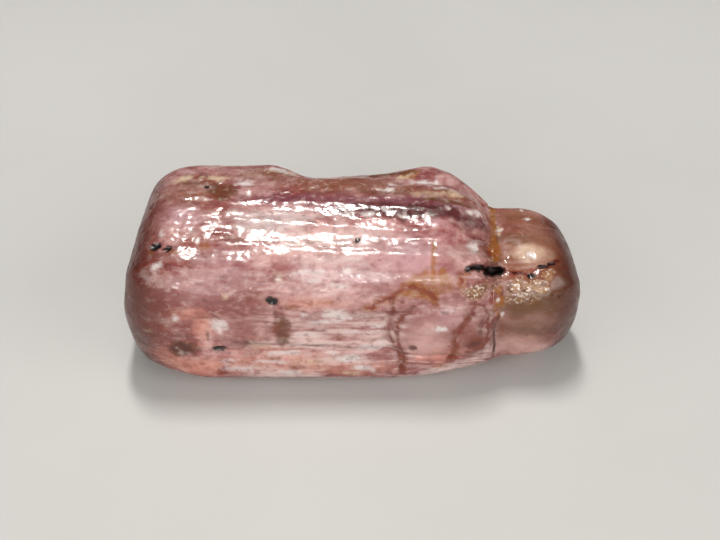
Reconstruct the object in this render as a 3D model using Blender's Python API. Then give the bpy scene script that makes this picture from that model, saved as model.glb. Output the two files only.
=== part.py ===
"""Imperial topaz crystal: one waterworn prism, lying on a prism face, stepped down to a domed end.

The c axis runs along X and the table is z = 0. The front of the crystal faces -Y.
An angle round the axis is in degrees from the front (-Y), up towards +Z.
Every shape function takes points measured from the middle of the axis and gives a distance to
the surface, negative inside the stone.
"""

import math

import bmesh
import bpy
import numpy as np
from mathutils import Vector

MM = 0.001

# Driving sizes of the whole stone
LENGTH = 20.0 * MM
HEIGHT = 7.64 * MM
LEFT_END = -LENGTH / 2
RIGHT_END = LENGTH / 2
AXIS_HEIGHT = HEIGHT / 2

# Middle of the axis from the origin, which lies below the middle of the stone's box
AXIS_PLACE = Vector((-0.105 * MM, 0.095 * MM, AXIS_HEIGHT))

# Prism faces: how far each one turns from the a axis, and the roll that lays a {120} face flat
TURN_110 = 27.8
TURN_120 = 46.6
ROLL = 90.0 - TURN_120

# Distance from the axis to each pair of prism faces, {110} then {120}
FRONT_FACES = (3.90 * MM, 3.50 * MM)
TOP_FACES = (3.64 * MM, AXIS_HEIGHT)
BACK_FACES = (3.60 * MM, 3.38 * MM)
BOTTOM_FACES = (3.89 * MM, AXIS_HEIGHT)
RIDGE_BLEND = 0.16 * MM
WORN_EDGE = 0.80 * MM

# Left end: a cleavage face worn back at the top, and a bevel below it, as (turn, tilt, reach)
CLEAVAGE = (120.0, 11.0, 9.40 * MM)
LEFT_BEVEL = (310.0, 47.0, 9.22 * MM)
LEFT_WEAR = 1.7 * MM

# Shoulder of the thick prism, as (turn, tilt, where the face would meet the axis)
SHOULDER_FACES = (
    (130.0, 48.0, 9.25 * MM),
    (75.0, 55.0, 9.90 * MM),
    (15.0, 62.0, 12.40 * MM),
    (310.0, 70.0, 17.00 * MM),
    (262.0, 72.0, 16.60 * MM),
    (190.0, 52.0, 9.40 * MM),
)
SHOULDER_WEAR = 0.80 * MM
WAIST_X = 6.05 * MM
WAIST_FACE = (130.0, 3.0)
WAIST_BLEND = 0.45 * MM

# Domed end: the same prism, smaller and a little lower, with its tip and its lower worn corner
# as (turn, tilt, reach)
DOME_SHARE = 0.712
DOME_OFFSET = Vector((0.0, -0.30 * MM, -0.36 * MM))
DOME_FACES = (
    (125.0, 10.0, RIGHT_END - 0.15 * MM),
    (310.0, 45.0, 9.25 * MM),
)
DOME_ROOT = 2.0 * MM
DOME_WEAR = 2.0 * MM
JOIN_BLEND = 0.60 * MM

# Chipped edge between the top and the back: its wall, floor and right end as (side, tilt, place on the
# axis), and the height at which they cross those places
CHIP_TURN = 130.0
CHIP_FACES = (
    (1, 63.0, -1.95 * MM),
    (-1, 88.2, -2.70 * MM),
    (-1, 76.0, 1.14 * MM),
)
CHIP_FLOOR = 4.05 * MM
CHIP_BLEND = 0.25 * MM

# Growth ledges along the prism: (turns between ledges in degrees, height, drift along the axis)
LEDGES = (
    (18.0, 0.030 * MM, 0.9),
    (30.0, 0.035 * MM, -0.6),
    (45.0, 0.030 * MM, 0.4),
)
LEDGE_LENGTH = 6.5 * MM
LEDGES_STOP = -7.8 * MM
LEDGES_RUN_OUT = 1.4 * MM
LEDGES_ON_DOME = 0.25
REST_TURN = 270.0
REST_HALF_WIDTH = 40.0
REST_FADE = 14.0

# Bulge on the front below the shoulder, with a shallow furrow round it
BULGE_X = 3.85 * MM
BULGE_TURN = 347.0
BULGE_HALF_LENGTH = 2.35 * MM
BULGE_HALF_WIDTH = 1.75 * MM
BULGE_HEIGHT = 0.15 * MM
FURROW_DEPTH = 0.10 * MM
FURROW_WIDTH = 0.16

# Pits and dents: (place on the axis, turn, length, width, depth)
PITS = (
    (-3.33 * MM, 20.3, 0.34 * MM, 0.28 * MM, 0.20 * MM),
    (-5.75 * MM, 337.8, 0.30 * MM, 0.24 * MM, 0.16 * MM),
    (-7.90 * MM, 54.0, 0.55 * MM, 0.30 * MM, 0.18 * MM),
    (-7.11 * MM, 341.4, 0.80 * MM, 0.50 * MM, 0.07 * MM),
    (-5.60 * MM, 104.0, 0.70 * MM, 0.55 * MM, 0.13 * MM),
    (4.30 * MM, 112.0, 1.10 * MM, 0.45 * MM, 0.12 * MM),
    (5.85 * MM, 41.0, 0.60 * MM, 0.34 * MM, 0.26 * MM),
    (7.60 * MM, 40.0, 0.90 * MM, 0.30 * MM, 0.12 * MM),
    (-4.60 * MM, 196.0, 1.30 * MM, 0.90 * MM, 0.14 * MM),
    (1.90 * MM, 228.0, 0.90 * MM, 0.60 * MM, 0.12 * MM),
)
PIT_RADIUS = 3.75 * MM

# Mesh: quads along one side of the section, rings along the axis, and their crowding at the waist
SIDE_QUADS = 18
RING_COUNT = 60
RIM_RINGS = 8
RIM_TILT = 50.0
CROWDING = 2.4
CROWDED_LENGTH = 1.1 * MM
END_ANCHOR = 3.0 * MM
SEARCH_REACH = 9.0 * MM
SEARCH_STEPS = 44


def clear_scene():
    """Remove every object that the file starts with."""
    for obj in list(bpy.data.objects):
        bpy.data.objects.remove(obj, do_unlink=True)


def around(turn):
    """Unit vector across the axis, turned from the front (-Y) up towards +Z."""
    angle = math.radians(turn)
    return np.array((0.0, -math.cos(angle), math.sin(angle)))


def leaning(side, tilt, turn):
    """Unit vector tilted from the axis, whose side is -1 or 1, towards a turn round it."""
    lean = math.radians(tilt)
    return np.array((side * math.cos(lean), 0.0, 0.0)) + math.sin(lean) * around(turn)


def on_axis(place):
    """The point of the axis at this place."""
    return np.array((place, 0.0, 0.0))


def smooth_max(first, second, blend):
    """The greater of two distances, rounded where they are nearly equal."""
    share = np.clip(0.5 + 0.5 * (first - second) / blend, 0.0, 1.0)
    return second * (1.0 - share) + first * share + blend * share * (1.0 - share)


def worn(distances, radius):
    """Distance to the space behind all the faces, with its edges worn to about this radius."""
    inset = np.stack(distances) + radius
    outside = np.sqrt((np.maximum(inset, 0.0) ** 2).sum(axis=0))
    return outside + np.minimum(inset.max(axis=0), 0.0) - radius


def prism_sides(points, scale=1.0):
    """Distances to the four sides of the prism, each a {110} and a {120} face that meet in a low ridge."""
    pairs = (
        (-TURN_110, -TURN_120, FRONT_FACES),
        (TURN_110, TURN_120, TOP_FACES),
        (180.0 - TURN_110, 180.0 - TURN_120, BACK_FACES),
        (180.0 + TURN_110, 180.0 + TURN_120, BOTTOM_FACES),
    )
    sides = []
    for turn_110, turn_120, (reach_110, reach_120) in pairs:
        first = points @ around(turn_110 + ROLL) - reach_110 * scale
        second = points @ around(turn_120 + ROLL) - reach_120 * scale
        sides.append(smooth_max(first, second, RIDGE_BLEND))
    return sides


def thick_prism(points):
    """The main prism, from the cleaved left end to the worn shoulder at the waist."""
    faces = [worn(prism_sides(points), WORN_EDGE)]
    for turn, tilt, reach in (CLEAVAGE, LEFT_BEVEL):
        faces.append(points @ leaning(-1, tilt, turn) - reach)
    body = worn(faces, LEFT_WEAR)
    shoulder = [(points - on_axis(reach)) @ leaning(1, tilt, turn) for turn, tilt, reach in SHOULDER_FACES]
    turn, tilt = WAIST_FACE
    waist = (points - on_axis(WAIST_X)) @ leaning(1, tilt, turn)
    return smooth_max(worn([body] + shoulder, SHOULDER_WEAR), waist, WAIST_BLEND)


def domed_end(points):
    """The smaller prism past the waist, worn to a dome."""
    moved = points - np.array(DOME_OFFSET)
    sides = worn(prism_sides(moved, DOME_SHARE), WORN_EDGE)
    ends = [moved @ leaning(1, tilt, turn) - reach for turn, tilt, reach in DOME_FACES]
    return worn([sides, DOME_ROOT - points[:, 0]] + ends, DOME_WEAR)


def chipped_edge(points):
    """Distance into the flake that is broken off the edge between the top and the back."""
    foot = CHIP_FLOOR * around(CHIP_TURN)
    inside = None
    for side, tilt, place in CHIP_FACES:
        face = (on_axis(place) + foot - points) @ leaning(side, tilt, CHIP_TURN)
        inside = face if inside is None else smooth_max(inside, face, CHIP_BLEND)
    return -inside


def turn_of(points):
    """Each point's turn round the axis, in degrees from 0 to 360."""
    return np.degrees(np.arctan2(points[:, 2], -points[:, 1])) % 360.0


def turns_from(turns, centre):
    """How far each turn lies from a centre, in degrees from -180 to 180."""
    return (turns - centre + 180.0) % 360.0 - 180.0


def ledge_relief(points, turns):
    """Height of the growth ledges, which drift along the axis and leave the resting face flat."""
    along = points[:, 0] / LEDGE_LENGTH
    height = np.zeros(len(points))
    for spacing, ledge_height, drift in LEDGES:
        phase = math.tau * (turns / spacing + 0.35 * np.sin(along + drift) + 0.2 * drift * along)
        height += ledge_height * np.sin(phase + 0.6 * np.sin(phase))
    off_rest = (np.abs(turns_from(turns, REST_TURN)) - REST_HALF_WIDTH) / REST_FADE
    left = np.clip((points[:, 0] - LEDGES_STOP) / LEDGES_RUN_OUT, 0.0, 1.0)
    right = np.clip((RIGHT_END - LEDGES_RUN_OUT - points[:, 0]) / LEDGES_RUN_OUT, 0.0, 1.0)
    share = np.where(points[:, 0] > WAIST_X, LEDGES_ON_DOME * right, left)
    return height * share * np.clip(off_rest, 0.0, 1.0)


def bulge_relief(points, turns):
    """Height of the smooth bulge on the front, and of the furrow round it."""
    along = (points[:, 0] - BULGE_X) / BULGE_HALF_LENGTH
    across = np.radians(turns_from(turns, BULGE_TURN)) * PIT_RADIUS / BULGE_HALF_WIDTH
    reach = np.hypot(along, across)
    swell = BULGE_HEIGHT * np.clip(1.0 - reach ** 2, 0.0, 1.0)
    furrow = FURROW_DEPTH * np.exp(-(((reach - 1.08) / FURROW_WIDTH) ** 2))
    return swell - furrow


def pit_relief(points, turns):
    """Depth of the pits and dents, as a negative height."""
    height = np.zeros(len(points))
    for place, turn, length, width, depth in PITS:
        along = (points[:, 0] - place) / length
        across = np.radians(turns_from(turns, turn)) * PIT_RADIUS / width
        height -= depth * np.exp(-(along ** 2) - across ** 2)
    return height


def stone(points):
    """Distance to the surface of the whole stone."""
    whole = -smooth_max(-thick_prism(points), -domed_end(points), JOIN_BLEND)
    whole = smooth_max(whole, chipped_edge(points), CHIP_BLEND)
    turns = turn_of(points)
    relief = ledge_relief(points, turns) + bulge_relief(points, turns) + pit_relief(points, turns)
    return np.maximum(whole - relief, -AXIS_HEIGHT - points[:, 2])


def ring_places():
    """Where each ring of rays starts on the axis, and its tilt from the axis in radians."""
    first, last = LEFT_END + END_ANCHOR, RIGHT_END - END_ANCHOR
    fine = np.linspace(first, last, 2001)
    density = 1.0 + CROWDING * np.exp(-(((fine - WAIST_X) / CROWDED_LENGTH) ** 2))
    total = np.concatenate(([0.0], np.cumsum((density[1:] + density[:-1]) / 2)))
    barrel = np.interp(np.linspace(0.0, total[-1], RING_COUNT - 2 * RIM_RINGS + 1), total, fine)
    rim = np.linspace(RIM_TILT, 90.0, RIM_RINGS + 1)[:-1]
    starts = np.concatenate((np.full(RIM_RINGS, first), barrel, np.full(RIM_RINGS, last)))
    tilts = np.concatenate((rim, np.full(len(barrel), 90.0), rim[::-1]))
    return starts, np.radians(tilts)


def rays(grid):
    """A start on the axis and a direction out of it for each vertex of a cube from -1 to 1."""
    along, square = grid[:, 0], grid[:, 1:]
    edge = np.abs(square).max(axis=1)
    on_edge = square / np.maximum(edge, 1e-9)[:, None]
    wide = np.abs(on_edge[:, 0]) >= np.abs(on_edge[:, 1])
    bend = math.pi / 4 * on_edge
    across = np.where(wide, np.sign(on_edge[:, 0]) * np.cos(bend[:, 1]), np.sin(bend[:, 0]))
    upward = np.where(wide, np.sin(bend[:, 1]), np.sign(on_edge[:, 1]) * np.cos(bend[:, 0]))
    ring_starts, ring_tilts = ring_places()
    ring = np.rint((along + 1) / 2 * RING_COUNT).astype(int)
    tilt = edge * ring_tilts[ring]
    forward = np.sign(along) * np.cos(tilt)
    directions = np.stack((forward, np.sin(tilt) * across, np.sin(tilt) * upward), axis=1)
    starts = np.zeros_like(directions)
    starts[:, 0] = ring_starts[ring]
    return starts, directions


def reach_surface(starts, directions):
    """Follow each ray out of the axis to where it leaves the stone."""
    near = np.zeros(len(starts))
    far = np.full(len(starts), SEARCH_REACH)
    for _ in range(SEARCH_STEPS):
        middle = (near + far) / 2
        inside = stone(starts + directions * middle[:, None]) < 0.0
        near = np.where(inside, middle, near)
        far = np.where(inside, far, middle)
    return starts + directions * near[:, None]


def divided_cube():
    """A cube from -1 to 1, cut into rings along X and into a grid across it."""
    bm = bmesh.new()
    bmesh.ops.create_cube(bm, size=2.0)
    lengthwise = [e for e in bm.edges if abs(e.verts[0].co.x - e.verts[1].co.x) > 1.0]
    bmesh.ops.subdivide_edges(bm, edges=lengthwise, cuts=RING_COUNT - 1, use_grid_fill=True)
    crosswise = [e for e in bm.edges if abs(e.verts[0].co.x - e.verts[1].co.x) < 1e-6]
    bmesh.ops.subdivide_edges(bm, edges=crosswise, cuts=SIDE_QUADS - 1, use_grid_fill=True)
    return bm


def pink_topaz():
    """Clear rosy topaz, dulled by wear."""
    material = bpy.data.materials.new("pink_topaz")
    material.use_nodes = True
    shader = material.node_tree.nodes["Principled BSDF"]
    shader.inputs["Base Color"].default_value = (0.53, 0.24, 0.20, 1.0)
    shader.inputs["Roughness"].default_value = 0.22
    shader.inputs["Metallic"].default_value = 0.0
    shader.inputs["IOR"].default_value = 1.62
    shader.inputs["Transmission Weight"].default_value = 0.6
    return material


def build_crystal():
    """Shape the divided cube into the stone and stand it on the table."""
    bm = divided_cube()
    grid = np.array([vert.co for vert in bm.verts], dtype=float)
    surface = reach_surface(*rays(grid))
    for vert, place in zip(bm.verts, surface):
        vert.co = AXIS_PLACE + Vector(place)
    mesh = bpy.data.meshes.new("crystal")
    bm.to_mesh(mesh)
    bm.free()
    mesh.shade_smooth()
    mesh.materials.append(pink_topaz())
    return bpy.data.objects.new("crystal", mesh)


def main():
    clear_scene()
    collection = bpy.data.collections.new("imperial_topaz_crystal")
    bpy.context.scene.collection.children.link(collection)
    collection.objects.link(build_crystal())


main()
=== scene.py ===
"""Dresses the waterworn imperial topaz crystal and stands it on a pale studio floor.

The stone is carved from a divided cube: each vertex slides out from the c axis to the worn prism,
and the finer skin (growth lines, chips, pits and cracks) is part of the same form. Stains and
zones of colour, among them painted highlights, glints, glow and dark shade, are kept as
attributes of the mesh, and the finish reads them.
"""

import logging
import math
from dataclasses import dataclass, field, replace
from enum import Enum
from functools import reduce
from typing import Callable, Sequence

import bmesh
import bpy
import numpy as np
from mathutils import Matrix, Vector


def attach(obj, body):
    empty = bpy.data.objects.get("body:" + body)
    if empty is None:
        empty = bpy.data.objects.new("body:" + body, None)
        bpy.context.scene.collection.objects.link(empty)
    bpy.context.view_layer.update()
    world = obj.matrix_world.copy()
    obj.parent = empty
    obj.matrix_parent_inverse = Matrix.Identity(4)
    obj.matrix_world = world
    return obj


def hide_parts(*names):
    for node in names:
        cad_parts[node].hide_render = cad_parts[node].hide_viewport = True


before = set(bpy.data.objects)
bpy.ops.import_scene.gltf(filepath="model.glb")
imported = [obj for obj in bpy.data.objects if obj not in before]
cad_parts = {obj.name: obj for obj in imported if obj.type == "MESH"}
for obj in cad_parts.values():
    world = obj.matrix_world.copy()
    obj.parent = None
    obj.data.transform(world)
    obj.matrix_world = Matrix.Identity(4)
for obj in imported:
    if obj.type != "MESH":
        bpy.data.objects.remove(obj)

logging.basicConfig(level=logging.INFO, format="%(message)s")
LOG = logging.getLogger("topaz")

MM = 0.001
Array = np.ndarray
Colour = tuple[float, float, float]
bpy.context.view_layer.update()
SKIN_RADIUS = 3.7 * MM


class Tint(Enum):
    """Colours of the patches, from the stone's own to those of its stains; some also paint highlights,
    glints, glow, a dark band and dark rims.
    """

    WHITE = (1.00, 0.97, 0.95)
    CREAM = (0.96, 0.80, 0.52)
    BLUSH = (1.00, 0.71, 0.65)
    SALMON = (0.90, 0.42, 0.32)
    ROSE = (0.26, 0.060, 0.036)
    LILAC = (0.66, 0.40, 0.44)
    MAUVE = (0.19, 0.055, 0.082)
    WINE = (0.075, 0.018, 0.020)
    TAN = (0.25, 0.10, 0.040)
    UMBER = (0.20, 0.030, 0.005)
    OLIVE = (0.13, 0.058, 0.010)
    OCHRE = (0.40, 0.145, 0.014)
    RUST = (0.26, 0.025, 0.002)
    BROWN = (0.06, 0.010, 0.002)
    BLACK = (0.0008, 0.0004, 0.0004)


class Wear(Enum):
    """How the skin itself differs; the frost also carries a painted dark rim. The value names its attribute.
    """

    # frosted ends; their colour is a painted dark rim, standing in for dark surroundings seen through the
    # edges
    FROST_AND_DARK_RIM = "frost_and_dark_rim"
    BROKEN = "broken"
    SPECK = "speck"
    BANDED = "banded"
    SMOOTH = "smooth"


def around(turn: float) -> Array:
    """Unit vector across the axis, turned from the front (-Y) up towards +Z.

    Args:
        turn: Angle round the axis in degrees.

    Returns:
        The unit vector.
    """
    angle = math.radians(turn)
    return np.array((0.0, -math.cos(angle), math.sin(angle)))


def leaning(side: int, tilt: float, turn: float) -> Array:
    """Unit vector tilted from the axis towards a turn round it.

    Args:
        side: -1 for the left end, 1 for the right end.
        tilt: Angle from the axis in degrees.
        turn: Angle round the axis in degrees.

    Returns:
        The unit vector.
    """
    lean = math.radians(tilt)
    return np.array((side * math.cos(lean), 0.0, 0.0)) + math.sin(lean) * around(turn)


def on_axis(place: float) -> Array:
    """The point of the axis at this place."""
    return np.array((place, 0.0, 0.0))


def smooth_max(first: Array, second: Array, blend: float) -> Array:
    """The greater of two distances, rounded where they are nearly equal.

    Args:
        first: Distances to one surface.
        second: Distances to another surface.
        blend: How far the rounding reaches.

    Returns:
        The blended distances.
    """
    share = np.clip(0.5 + 0.5 * (first - second) / blend, 0.0, 1.0)
    return second * (1.0 - share) + first * share + blend * share * (1.0 - share)


def worn(distances: Sequence[Array], radius: float) -> Array:
    """Distance to the space behind all the faces, with its edges worn round.

    Args:
        distances: Distances to each face.
        radius: Radius of the worn edges.

    Returns:
        The distances to the worn solid.
    """
    inset = np.stack(distances) + radius
    outside = np.sqrt((np.maximum(inset, 0.0) ** 2).sum(axis=0))
    return outside + np.minimum(inset.max(axis=0), 0.0) - radius


def ease(values: Array, low: float, high: float) -> Array:
    """Rise smoothly from 0 at low to 1 at high; low may be the greater one.

    Args:
        values: Numbers to ease.
        low: Where the result is 0.
        high: Where the result is 1.

    Returns:
        The eased numbers.
    """
    share = np.clip((values - low) / (high - low), 0.0, 1.0)
    return share * share * (3.0 - 2.0 * share)


def turns_from(turns: Array, centre: float) -> Array:
    """How far each turn lies from a centre, in degrees from -180 to 180."""
    return (turns - centre + 180.0) % 360.0 - 180.0


@dataclass(frozen=True)
class Grain:
    """Seeded value noise that repeats nowhere near the stone."""

    seed: int

    def lattice(self, corner: Array) -> Array:
        """Random numbers from -1 to 1 that belong to whole-number corners.

        Args:
            corner: Whole numbers, three to a row.

        Returns:
            One number for each row.
        """
        mixed = corner[:, 0] * 374761393 + corner[:, 1] * 668265263 + corner[:, 2] * 1442695041
        mixed = (mixed + self.seed * 974634777) & 0xFFFFFFFF
        mixed = ((mixed ^ (mixed >> 13)) * 1274126177) & 0xFFFFFFFF
        mixed = ((mixed ^ (mixed >> 15)) * 2246822519) & 0xFFFFFFFF
        return ((mixed ^ (mixed >> 16)) & 0xFFFF) / 32767.5 - 1.0

    def at(self, places: Array) -> Array:
        """Noise from -1 to 1 at places given in units of its grain.

        Args:
            places: Places, three numbers to a row.

        Returns:
            One number for each row.
        """
        corner = np.floor(places).astype(np.int64)
        share = places - corner
        share = share * share * share * (share * (share * 6.0 - 15.0) + 10.0)
        total = np.zeros(len(places))
        for step in np.ndindex(2, 2, 2):
            weight = np.prod(np.where(np.array(step) == 1, share, 1.0 - share), axis=1)
            total += weight * self.lattice(corner + np.array(step))
        return total

    def layered(self, places: Array, layers: int = 3) -> Array:
        """Noise with finer and fainter layers on top.

        Args:
            places: Places, three numbers to a row.
            layers: How many layers to add.

        Returns:
            One number for each row, from about -1 to 1.
        """
        total = np.zeros(len(places))
        for layer in range(layers):
            total += Grain(self.seed + layer).at(places * 2.03 ** layer + 17.3 * layer) * 0.5 ** layer
        return total / (2.0 - 0.5 ** (layers - 1))


@dataclass(frozen=True)
class Skin:
    """Points of the surface with what the features ask of them."""

    points: Array
    turns: Array

    @classmethod
    def of(cls, points: Array) -> "Skin":
        """Skin at these points, measured from the middle of the axis."""
        return cls(points, np.degrees(np.arctan2(points[:, 2], -points[:, 1])) % 360.0)

    @property
    def along(self) -> Array:
        """Place of each point along the axis, in millimetres."""
        return self.points[:, 0] / MM

    def across(self, turn: float) -> Array:
        """Distance round the skin from a turn, in millimetres."""
        return np.radians(turns_from(self.turns, turn)) * SKIN_RADIUS / MM

    def rolled(self, lengthwise: float, crosswise: float) -> Array:
        """Seamless places for noise on a barrel of even radius.

        Args:
            lengthwise: Grains to a millimetre along the axis.
            crosswise: Grains to a millimetre round the axis.

        Returns:
            Places, three numbers to a row.
        """
        angle = np.radians(self.turns)
        reach = SKIN_RADIUS / MM * crosswise
        return np.stack((self.along * lengthwise, reach * np.cos(angle), reach * np.sin(angle)), axis=1)

    def solid(self, grains: float) -> Array:
        """Places for noise of even grain, in grains to a millimetre."""
        return self.points / MM * grains


@dataclass(frozen=True)
class Spot:
    """An oval feature of the skin, with its place in millimetres and its turn in degrees."""

    place: float
    turn: float
    length: float
    width: float
    amount: float = 1.0
    ragged: float = 0.35
    slant: float = 0.0
    seed: int = 5
    soft: float = 0.3

    def reach(self, skin: Skin) -> Array:
        """Distance from the middle, 1 at the ragged edge.

        Args:
            skin: Where to measure.

        Returns:
            One number for each point.
        """
        lean = math.radians(self.slant)
        u = skin.along - self.place
        v = skin.across(self.turn)
        along = (u * math.cos(lean) + v * math.sin(lean)) / self.length
        across = (v * math.cos(lean) - u * math.sin(lean)) / self.width
        reach = np.hypot(along, across)
        near = reach < 2.6
        grains = 0.9 / min(self.length, self.width)
        reach[near] += self.ragged * Grain(self.seed).layered(skin.solid(grains)[near])
        return reach

    def cover(self, skin: Skin) -> Array:
        """How much of the feature is at each point, with a soft ragged edge."""
        return self.amount * ease(self.reach(skin), 0.92 + self.soft, 0.92 - self.soft)

    def hollow(self, skin: Skin) -> Array:
        """Depth share of a pit of this shape, 1 in the middle."""
        return self.amount * np.exp(-(np.maximum(self.reach(skin), 0.0) ** 2) * 1.4)


@dataclass(frozen=True)
class Trail:
    """A line on the skin through points given as (place in millimetres, turn in degrees)."""

    route: tuple[tuple[float, float], ...]
    width: float
    amount: float = 1.0
    ragged: float = 0.5
    seed: int = 9

    def reach(self, skin: Skin) -> Array:
        """Distance from the wandering line, 1 at its edge.

        Args:
            skin: Where to measure.

        Returns:
            One number for each point.
        """
        wander = 0.35 * self.width * self.ragged
        noise = Grain(self.seed)
        u = skin.along + wander * noise.layered(skin.solid(2.2)) * 2.0
        v = skin.across(self.route[0][1]) + wander * Grain(self.seed + 7).layered(skin.solid(2.2)) * 2.0
        best = np.full(len(u), 1e9)
        stops = [(x, float(turns_from(np.array(turn), self.route[0][1]))) for x, turn in self.route]
        stops = [(x, math.radians(turn) * SKIN_RADIUS / MM) for x, turn in stops]
        for (x0, y0), (x1, y1) in zip(stops, stops[1:]):
            dx, dy = x1 - x0, y1 - y0
            share = np.clip(((u - x0) * dx + (v - y0) * dy) / (dx * dx + dy * dy), 0.0, 1.0)
            best = np.minimum(best, np.hypot(u - x0 - share * dx, v - y0 - share * dy))
        return best / self.width

    def cover(self, skin: Skin) -> Array:
        """How much of the line is at each point, thick and thin along its way."""
        thick = 1.0 + self.ragged * Grain(self.seed + 3).layered(skin.solid(3.0))
        return self.amount * ease(self.reach(skin), 1.3 * thick.clip(0.2), 0.4) * thick.clip(0.0, 1.2)

    def hollow(self, skin: Skin) -> Array:
        """Depth share of a furrow along the line, 1 in its middle."""
        return self.amount * np.exp(-(self.reach(skin) ** 2))


@dataclass(frozen=True)
class StoneForm:
    """Worn topaz prism: sizes in metres and a distance function, negative inside the stone."""

    length: float = 20.0 * MM
    height: float = 7.64 * MM
    turn_110: float = 27.8
    turn_120: float = 46.6
    front: tuple[float, float] = (3.90 * MM, 3.50 * MM)
    top_110: float = 3.64 * MM
    back: tuple[float, float] = (3.60 * MM, 3.38 * MM)
    bottom_110: float = 3.89 * MM
    ridge_blend: float = 0.16 * MM
    worn_edge: float = 0.80 * MM
    cleavage: tuple[float, float, float] = (120.0, 11.0, 9.40 * MM)
    left_bevel: tuple[float, float, float] = (310.0, 47.0, 9.22 * MM)
    left_wear: float = 1.7 * MM
    shoulder: tuple[tuple[float, float, float], ...] = (
        (130.0, 48.0, 9.25 * MM),
        (75.0, 55.0, 9.90 * MM),
        (15.0, 62.0, 12.40 * MM),
        (310.0, 70.0, 17.00 * MM),
        (262.0, 72.0, 16.60 * MM),
        (190.0, 52.0, 9.40 * MM),
    )
    shoulder_wear: float = 0.80 * MM
    waist_x: float = 6.05 * MM
    waist_face: tuple[float, float] = (130.0, 3.0)
    waist_blend: float = 0.45 * MM
    dome_share: float = 0.712
    dome_offset: tuple[float, float, float] = (0.0, -0.30 * MM, -0.36 * MM)
    dome_faces: tuple[tuple[float, float, float], ...] = ((125.0, 10.0, 9.85 * MM), (310.0, 45.0, 9.25 * MM))
    dome_wear: float = 2.0 * MM
    dome_root: float = 2.0 * MM
    join_blend: float = 0.60 * MM
    chip_turn: float = 130.0
    chip_faces: tuple[tuple[int, float, float], ...] = (
        (1, 63.0, -1.95 * MM),
        (-1, 88.2, -2.70 * MM),
        (-1, 76.0, 1.14 * MM),
    )
    chip_floor: float = 4.05 * MM
    chip_blend: float = 0.25 * MM

    @property
    def axis_place(self) -> Vector:
        """Middle of the axis in the frame, above the resting face."""
        return Vector((-0.105 * MM, 0.095 * MM, self.height / 2))

    def prism_sides(self, points: Array, scale: float = 1.0) -> list[Array]:
        """Distances to the four sides, each a {110} and a {120} face that meet in a low ridge.

        Args:
            points: Where to measure.
            scale: Size of the prism against the thick one.

        Returns:
            Four arrays of distances.
        """
        roll = 90.0 - self.turn_120
        pairs = (
            (-self.turn_110, -self.turn_120, self.front),
            (self.turn_110, self.turn_120, (self.top_110, self.height / 2)),
            (180.0 - self.turn_110, 180.0 - self.turn_120, self.back),
            (180.0 + self.turn_110, 180.0 + self.turn_120, (self.bottom_110, self.height / 2)),
        )
        sides = []
        for turn_110, turn_120, (reach_110, reach_120) in pairs:
            first = points @ around(turn_110 + roll) - reach_110 * scale
            second = points @ around(turn_120 + roll) - reach_120 * scale
            sides.append(smooth_max(first, second, self.ridge_blend))
        return sides

    def thick_prism(self, points: Array) -> Array:
        """Distance to the main prism, from the cleaved end to the shoulder."""
        faces = [worn(self.prism_sides(points), self.worn_edge)]
        for turn, tilt, reach in (self.cleavage, self.left_bevel):
            faces.append(points @ leaning(-1, tilt, turn) - reach)
        body = worn(faces, self.left_wear)
        shoulder = [(points - on_axis(reach)) @ leaning(1, tilt, turn) for turn, tilt, reach in self.shoulder]
        turn, tilt = self.waist_face
        waist = (points - on_axis(self.waist_x)) @ leaning(1, tilt, turn)
        return smooth_max(worn([body] + shoulder, self.shoulder_wear), waist, self.waist_blend)

    def domed_end(self, points: Array) -> Array:
        """Distance to the smaller prism past the waist, worn to a dome."""
        moved = points - np.array(self.dome_offset)
        sides = worn(self.prism_sides(moved, self.dome_share), self.worn_edge)
        ends = [moved @ leaning(1, tilt, turn) - reach for turn, tilt, reach in self.dome_faces]
        return worn([sides, self.dome_root - points[:, 0]] + ends, self.dome_wear)

    def chipped_edge(self, points: Array) -> Array:
        """Distance into the flake broken off the edge between the top and the back."""
        foot = self.chip_floor * around(self.chip_turn)
        walls = [(on_axis(place) + foot - points) @ leaning(side, tilt, self.chip_turn)
                 for side, tilt, place in self.chip_faces]
        return -reduce(lambda inner, wall: smooth_max(inner, wall, self.chip_blend), walls)

    def plain(self, points: Array) -> Array:
        """Distance to the worn stone before any relief."""
        whole = -smooth_max(-self.thick_prism(points), -self.domed_end(points), self.join_blend)
        return smooth_max(whole, self.chipped_edge(points), self.chip_blend)


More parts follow.
